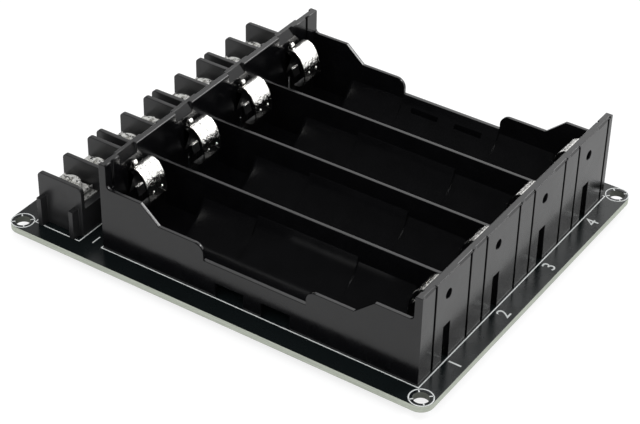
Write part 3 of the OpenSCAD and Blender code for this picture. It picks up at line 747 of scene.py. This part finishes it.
class CELLHOLDER_OT_print(bpy.types.Operator):
    """Prints the outlines, the rings at the mounting holes and the plain bay numbers"""
    bl_idname = "cellholder.print"
    bl_label = "Print Board"

    def execute(self, context):
        settings = context.scene.cellholder_board
        ink = ink_finish(settings)
        slot = slot_name("circuit_board")
        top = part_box("circuit_board")[1].z
        level = top + settings.ink_height / 2
        common = {"Line Width": settings.line_width, "Ink Height": settings.ink_height}
        outline = outline_tree()
        for name, length_x, width_y, middle in self.outlines(settings):
            middle.z = level
            values = {"Length": length_x, "Width": width_y, **common}
            show_piece(outline.grown_mesh(name, [middle], values, ink), name, ink, ROOT)
        values = {"Radius": settings.ring_radius, "Tick Length": settings.tick_length, **common}
        rings = ring_tree().grown_mesh("print_rings", hole_centres(level), values, ink)
        show_piece(rings, "print_rings", ink, ROOT)
        self.print_bar(settings, ink, slot, top)
        self.print_digits(settings, ink, slot, level)
        return {"FINISHED"}

    def outlines(self, settings):
        tray_low, tray_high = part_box("cell_tray")
        row_low, row_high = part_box("terminal_block_1")[0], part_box("terminal_block_4")[1]
        gap, row_gap = settings.tray_gap, settings.row_gap
        yield ("print_tray", tray_high.x - tray_low.x + 2 * gap, tray_high.y - tray_low.y + 2 * gap,
               (tray_low + tray_high) / 2)
        yield ("print_row", row_high.x - row_low.x + 2 * row_gap,
               tray_high.y - tray_low.y + 2 * row_gap, (row_low + row_high) / 2)

    def print_bar(self, settings, ink, slot, top):
        tray_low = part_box("cell_tray")[0]
        row_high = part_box("terminal_block_4")[1]
        x = (tray_low.x + row_high.x) / 2
        wide = settings.line_width / 2
        low = Vector((x - wide, tray_low.y, top))
        high = Vector((x + wide, tray_low.y + settings.bar_length, top + settings.ink_height))
        show_piece(bar_mesh("print_bar", low, high), "print_bar", ink, ROOT)

    def print_digits(self, settings, ink, slot, level):
        x = (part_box("cell_tray")[1].x + settings.tray_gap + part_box("circuit_board")[1].x) / 2
        for i in BAYS:
            centre = Vector((x, middle_of(f"contact_right_{i}").y, level))
            mesh = digit_mesh(str(i), settings.digit_height, settings.ink_height, centre)
            show_piece(mesh, f"print_number_{i}", ink, ROOT)


class CELLHOLDER_OT_tray(bpy.types.Operator):
    """Rounds the tray's edges and gives it its moulded black plastic"""
    bl_idname = "cellholder.tray"
    bl_label = "Mould Tray"

    def execute(self, context):
        settings = context.scene.cellholder_tray
        material = moulded_plastic("tray_plastic", tuple(settings.plastic), settings.gloss)
        replace_rounded("cell_tray", "tray_moulding", material, settings.edge)
        return {"FINISHED"}


class CELLHOLDER_OT_contacts(bpy.types.Operator):
    """Makes the bent leaf contacts at both ends of the bays"""
    bl_idname = "cellholder.contacts"
    bl_label = "Bend Contacts"

    def execute(self, context):
        settings = context.scene.cellholder_contacts
        # The insides of the bends get a painted shade.
        material = plated_metal(
            "bright_nickel", tuple(settings.nickel), settings.gloss, pebble=0.1 * MM,
            dull=tuple(settings.dull), Middle=middle_of("cell_tray").x,
            Reach=settings.bend_reach, Height=settings.bend_height)
        for side in SIDES:
            for i in BAYS:
                replace_rounded(f"contact_{side}_{i}", f"leaf_{side}_{i}", material, settings.edge)
        return {"FINISHED"}


class CELLHOLDER_OT_blocks(bpy.types.Operator):
    """Moulds the barrier terminal blocks"""
    bl_idname = "cellholder.blocks"
    bl_label = "Mould Blocks"

    def execute(self, context):
        settings = context.scene.cellholder_terminals
        plastic = moulded_plastic("block_plastic", tuple(settings.plastic), 0.34)
        for i in BLOCKS:
            replace_rounded(f"terminal_block_{i}", f"block_{i}", plastic, settings.plastic_edge)
        return {"FINISHED"}


class CELLHOLDER_OT_terminals(bpy.types.Operator):
    """Makes the terminal plates, the clamp washers and the screws with their threads"""
    bl_idname = "cellholder.terminals"
    bl_label = "Make Terminals"

    def execute(self, context):
        settings = context.scene.cellholder_terminals
        # Screws and washers: a near-white base at 0.15 metallic paints the plating's reflected sheen into
        # their colour, and their dark flecks are painted shade; the plates' flecks are painted shade too.
        metal = plated_metal("plated_steel", tuple(settings.metal), 0.14, pebble=0.25 * MM,
                             metallic=0.15, shade_fleck=1.0)
        tin = plated_metal("tinned_plate", tuple(settings.tin), 0.3, pebble=0.02 * MM,
                           metallic=0.5, shade_fleck=0.6)
        thread = thread_tree()
        for i in POLES:
            replace_rounded(f"terminal_plate_{i}", f"plate_{i}", tin, settings.edge)
            replace_rounded(f"clamp_washer_{i}", f"washer_{i}", metal, settings.edge)
            self.make_screw(settings, metal, thread, i)
        return {"FINISHED"}

    def make_screw(self, settings, metal, thread, i):
        node = f"terminal_screw_{i}"
        low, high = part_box(node)
        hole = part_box(f"clamp_washer_{i}")[0].z
        head_foot = self.head_foot(node)
        replace_rounded(node, f"screw_{i}", metal, settings.edge, keep_above=head_foot)
        centre = (low + high) / 2
        start = Vector((centre.x, centre.y, head_foot + HEAD_OVERLAP))
        values = {"Radius": self.shank_radius(node, hole), "Length": start.z - low.z,
                  "Pitch": settings.thread_pitch, "Thread Depth": settings.thread_depth}
        mesh = thread.grown_mesh(f"thread_{i}", [start], values, metal)
        show_piece(mesh, f"thread_{i}", metal, body_name(node), (node,))

    def head_foot(self, node):
        """Height of the flat under the screw's head."""
        low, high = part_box(node)
        reach = (high.x - low.x) / 2
        middle = (low + high) / 2
        return min(v.co.z for v in frame["nodes"][node].data.vertices
                   if (v.co.xy - middle.xy).length > HEAD_SHARE * reach)

    def shank_radius(self, node, below):
        low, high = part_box(node)
        middle = (low + high) / 2
        return max((v.co.xy - middle.xy).length for v in frame["nodes"][node].data.vertices
                   if v.co.z < below)


class CELLHOLDER_OT_solder(bpy.types.Operator):
    """Makes the pads and the solder joints round the pins below the board"""
    bl_idname = "cellholder.solder"
    bl_label = "Solder Joints"

    def execute(self, context):
        settings = context.scene.cellholder_solder
        material = solder_finish(settings)
        joint = joint_tree()
        contacts = [f"contact_{side}_{i}" for side in SIDES for i in BAYS]
        self.make(settings, joint, material, "contact_solder", contacts)
        self.make(settings, joint, material, "terminal_solder", [f"terminal_plate_{i}" for i in POLES])
        return {"FINISHED"}

    def make(self, settings, joint, material, node, pins):
        low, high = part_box(node)
        points = [self.pin_centre(pin, high.z) for pin in pins]
        base = min(high.x - p.x for p in points)
        values = {"Base Radius": base, "Tip Radius": settings.tip_radius,
                  "Height": high.z - low.z, "Pad Radius": settings.pad_radius,
                  "Pad Height": settings.pad_height}
        mesh = joint.grown_mesh(node + "_joints", points, values, material)
        show_piece(mesh, node + "_joints", material, ROOT, (node,))

    def pin_centre(self, node, z):
        """Middle of a node's pin at its lowest end."""
        vertices = frame["nodes"][node].data.vertices
        lowest = min(v.co.z for v in vertices)
        ends = [v.co for v in vertices if v.co.z < lowest + PIN_SLICE]
        x = (min(p.x for p in ends) + max(p.x for p in ends)) / 2
        y = (min(p.y for p in ends) + max(p.y for p in ends)) / 2
        return Vector((x, y, z))


# Stage

class CELLHOLDER_OT_stage(bpy.types.Operator):
    """Sets the pale floor, the soft lights, the white surroundings and the camera"""
    bl_idname = "cellholder.stage"
    bl_label = "Set Stage"

    def execute(self, context):
        settings = context.scene.cellholder_stage
        make_floor(settings)
        make_room(settings)
        for name, where, size, mirrored in LIGHTS:
            add_light(name, where, getattr(settings, name + "_power"), size, mirrored)
        make_camera(settings)
        context.scene.view_settings.view_transform = "Standard"
        return {"FINISHED"}


def seen_rays(tree):
    """A mask that is 1 for what the camera, a reflection or glass sees."""
    rays = tree.add("ShaderNodeLightPath").outputs
    mirrored = tree.math("MAXIMUM", rays["Is Camera Ray"], rays["Is Glossy Ray"])
    return tree.math("MAXIMUM", mirrored, rays["Is Transmission Ray"])


def make_floor(settings):
    mesh = bpy.data.meshes.new("floor")
    turns = ((-1, -1), (1, -1), (1, 1), (-1, 1))
    mesh.from_pydata([(x * FLOOR_HALF, y * FLOOR_HALF, 0) for x, y in turns], [], [(0, 1, 2, 3)])
    floor = bpy.data.objects.new("floor", mesh)
    bpy.context.scene.collection.objects.link(floor)
    finish = Finish("pale_floor", Roughness=0.9, Specular_IOR_Level=0.0)
    finish.shader("Base Color", (*settings.floor, 1.0))
    glow = finish.add("ShaderNodeEmission", ("Strength", FLOOR_GLOW))
    shadow = finish.add("ShaderNodeBsdfDiffuse", ("Color", FLOOR_CATCH))
    white = finish.add("ShaderNodeAddShader", (0, glow.outputs[0]), (1, shadow.outputs[0]))
    mix = finish.add("ShaderNodeMixShader", (0, seen_rays(finish)),
                     (1, finish.bsdf.outputs["BSDF"]), (2, white.outputs[0]))
    finish.feed(finish.tree.nodes["Material Output"].inputs["Surface"], mix.outputs[0])
    mesh.materials.append(finish.material)


def mirrored_room(tree, settings):
    """White low down on the right, a soft light behind, a dark ceiling; the camera sees white."""
    way = tree.add("ShaderNodeTexCoord").outputs["Generated"]
    x, y, z = tree.add("ShaderNodeSeparateXYZ", ("Vector", way)).outputs

    def ramp(value, fade, level=1.0):
        return tree.add("ShaderNodeMapRange", ("Value", value), ("From Min", fade[0]),
                        ("From Max", fade[1]), ("To Max", level)).outputs["Result"]

    low = tree.math("MULTIPLY", ramp(z, HORIZON_HEIGHT), ramp(x, HORIZON_SIDE))
    box = tree.math("MULTIPLY", ramp(x, SOFTBOX_SIDE),
                    ramp(y, SOFTBOX_BACK, settings.softbox_level))
    lit = tree.math("MAXIMUM", box, low)
    level = tree.math("MAXIMUM", lit, settings.ceiling)
    grey = tree.add("ShaderNodeCombineXYZ", ("X", level), ("Y", level), ("Z", level)).outputs["Vector"]
    direct = tree.add("ShaderNodeLightPath").outputs["Is Camera Ray"]
    return tree.blend(direct, grey, (1.0, 1.0, 1.0))


def make_room(settings):
    world = bpy.data.worlds.new("studio")
    bpy.context.scene.world = world
    world.use_nodes = True
    world.node_tree.nodes.clear()
    tree = Tree(world.node_tree)
    room = tree.add("ShaderNodeBackground", ("Color", (*settings.room, 1.0)))
    white = tree.add("ShaderNodeBackground", ("Color", mirrored_room(tree, settings)))
    mix = tree.add("ShaderNodeMixShader", (0, seen_rays(tree)),
                   (1, room.outputs[0]), (2, white.outputs[0]))
    tree.add("ShaderNodeOutputWorld", ("Surface", mix.outputs[0]))


def add_light(name, where, watts, size, mirrored):
    data = bpy.data.lights.new(name, "AREA")
    data.energy = watts
    data.size = size
    light = bpy.data.objects.new(name, data)
    light.location = where
    light.rotation_euler = (-Vector(where)).to_track_quat("-Z", "Y").to_euler()
    light.visible_glossy = mirrored
    bpy.context.scene.collection.objects.link(light)


def make_camera(settings):
    data = bpy.data.cameras.new("camera")
    data.lens = settings.lens
    data.sensor_width = 36.0
    camera = bpy.data.objects.new("camera", data)
    camera.location = settings.camera_place
    camera.rotation_euler = settings.camera_turn
    bpy.context.scene.collection.objects.link(camera)
    bpy.context.scene.camera = camera


class CELLHOLDER_PT_panel(bpy.types.Panel):
    """Lists the pieces of the cell holder"""
    bl_idname = "CELLHOLDER_PT_panel"
    bl_label = "Cell Holder"
    bl_space_type = "VIEW_3D"
    bl_region_type = "UI"
    bl_category = "Cell Holder"

    def draw(self, context):
        for operator in OPERATORS:
            self.layout.operator(operator.bl_idname)
        for name in SETTINGS:
            group = getattr(context.scene, name)
            column = self.layout.column()
            for key in group.__annotations__:
                column.prop(group, key)


SETTINGS = {
    "cellholder_board": BoardSettings,
    "cellholder_tray": TraySettings,
    "cellholder_contacts": ContactSettings,
    "cellholder_terminals": TerminalSettings,
    "cellholder_solder": SolderSettings,
    "cellholder_stage": StageSettings,
}
OPERATORS = (
    CELLHOLDER_OT_board,
    CELLHOLDER_OT_print,
    CELLHOLDER_OT_tray,
    CELLHOLDER_OT_contacts,
    CELLHOLDER_OT_blocks,
    CELLHOLDER_OT_terminals,
    CELLHOLDER_OT_solder,
    CELLHOLDER_OT_stage,
)
CLASSES = (*SETTINGS.values(), *OPERATORS, CELLHOLDER_PT_panel)


def register():
    for item in CLASSES:
        bpy.utils.register_class(item)
    for name, group in SETTINGS.items():
        setattr(bpy.types.Scene, name, bpy.props.PointerProperty(type=group))


def unregister():
    for name in SETTINGS:
        delattr(bpy.types.Scene, name)
    for item in reversed(CLASSES):
        bpy.utils.unregister_class(item)


def main():
    register()
    bpy.ops.cellholder.board()
    bpy.ops.cellholder.print()
    bpy.ops.cellholder.tray()
    bpy.ops.cellholder.contacts()
    bpy.ops.cellholder.blocks()
    bpy.ops.cellholder.terminals()
    bpy.ops.cellholder.solder()
    bpy.ops.cellholder.stage()


if __name__ == "__main__":
    main()
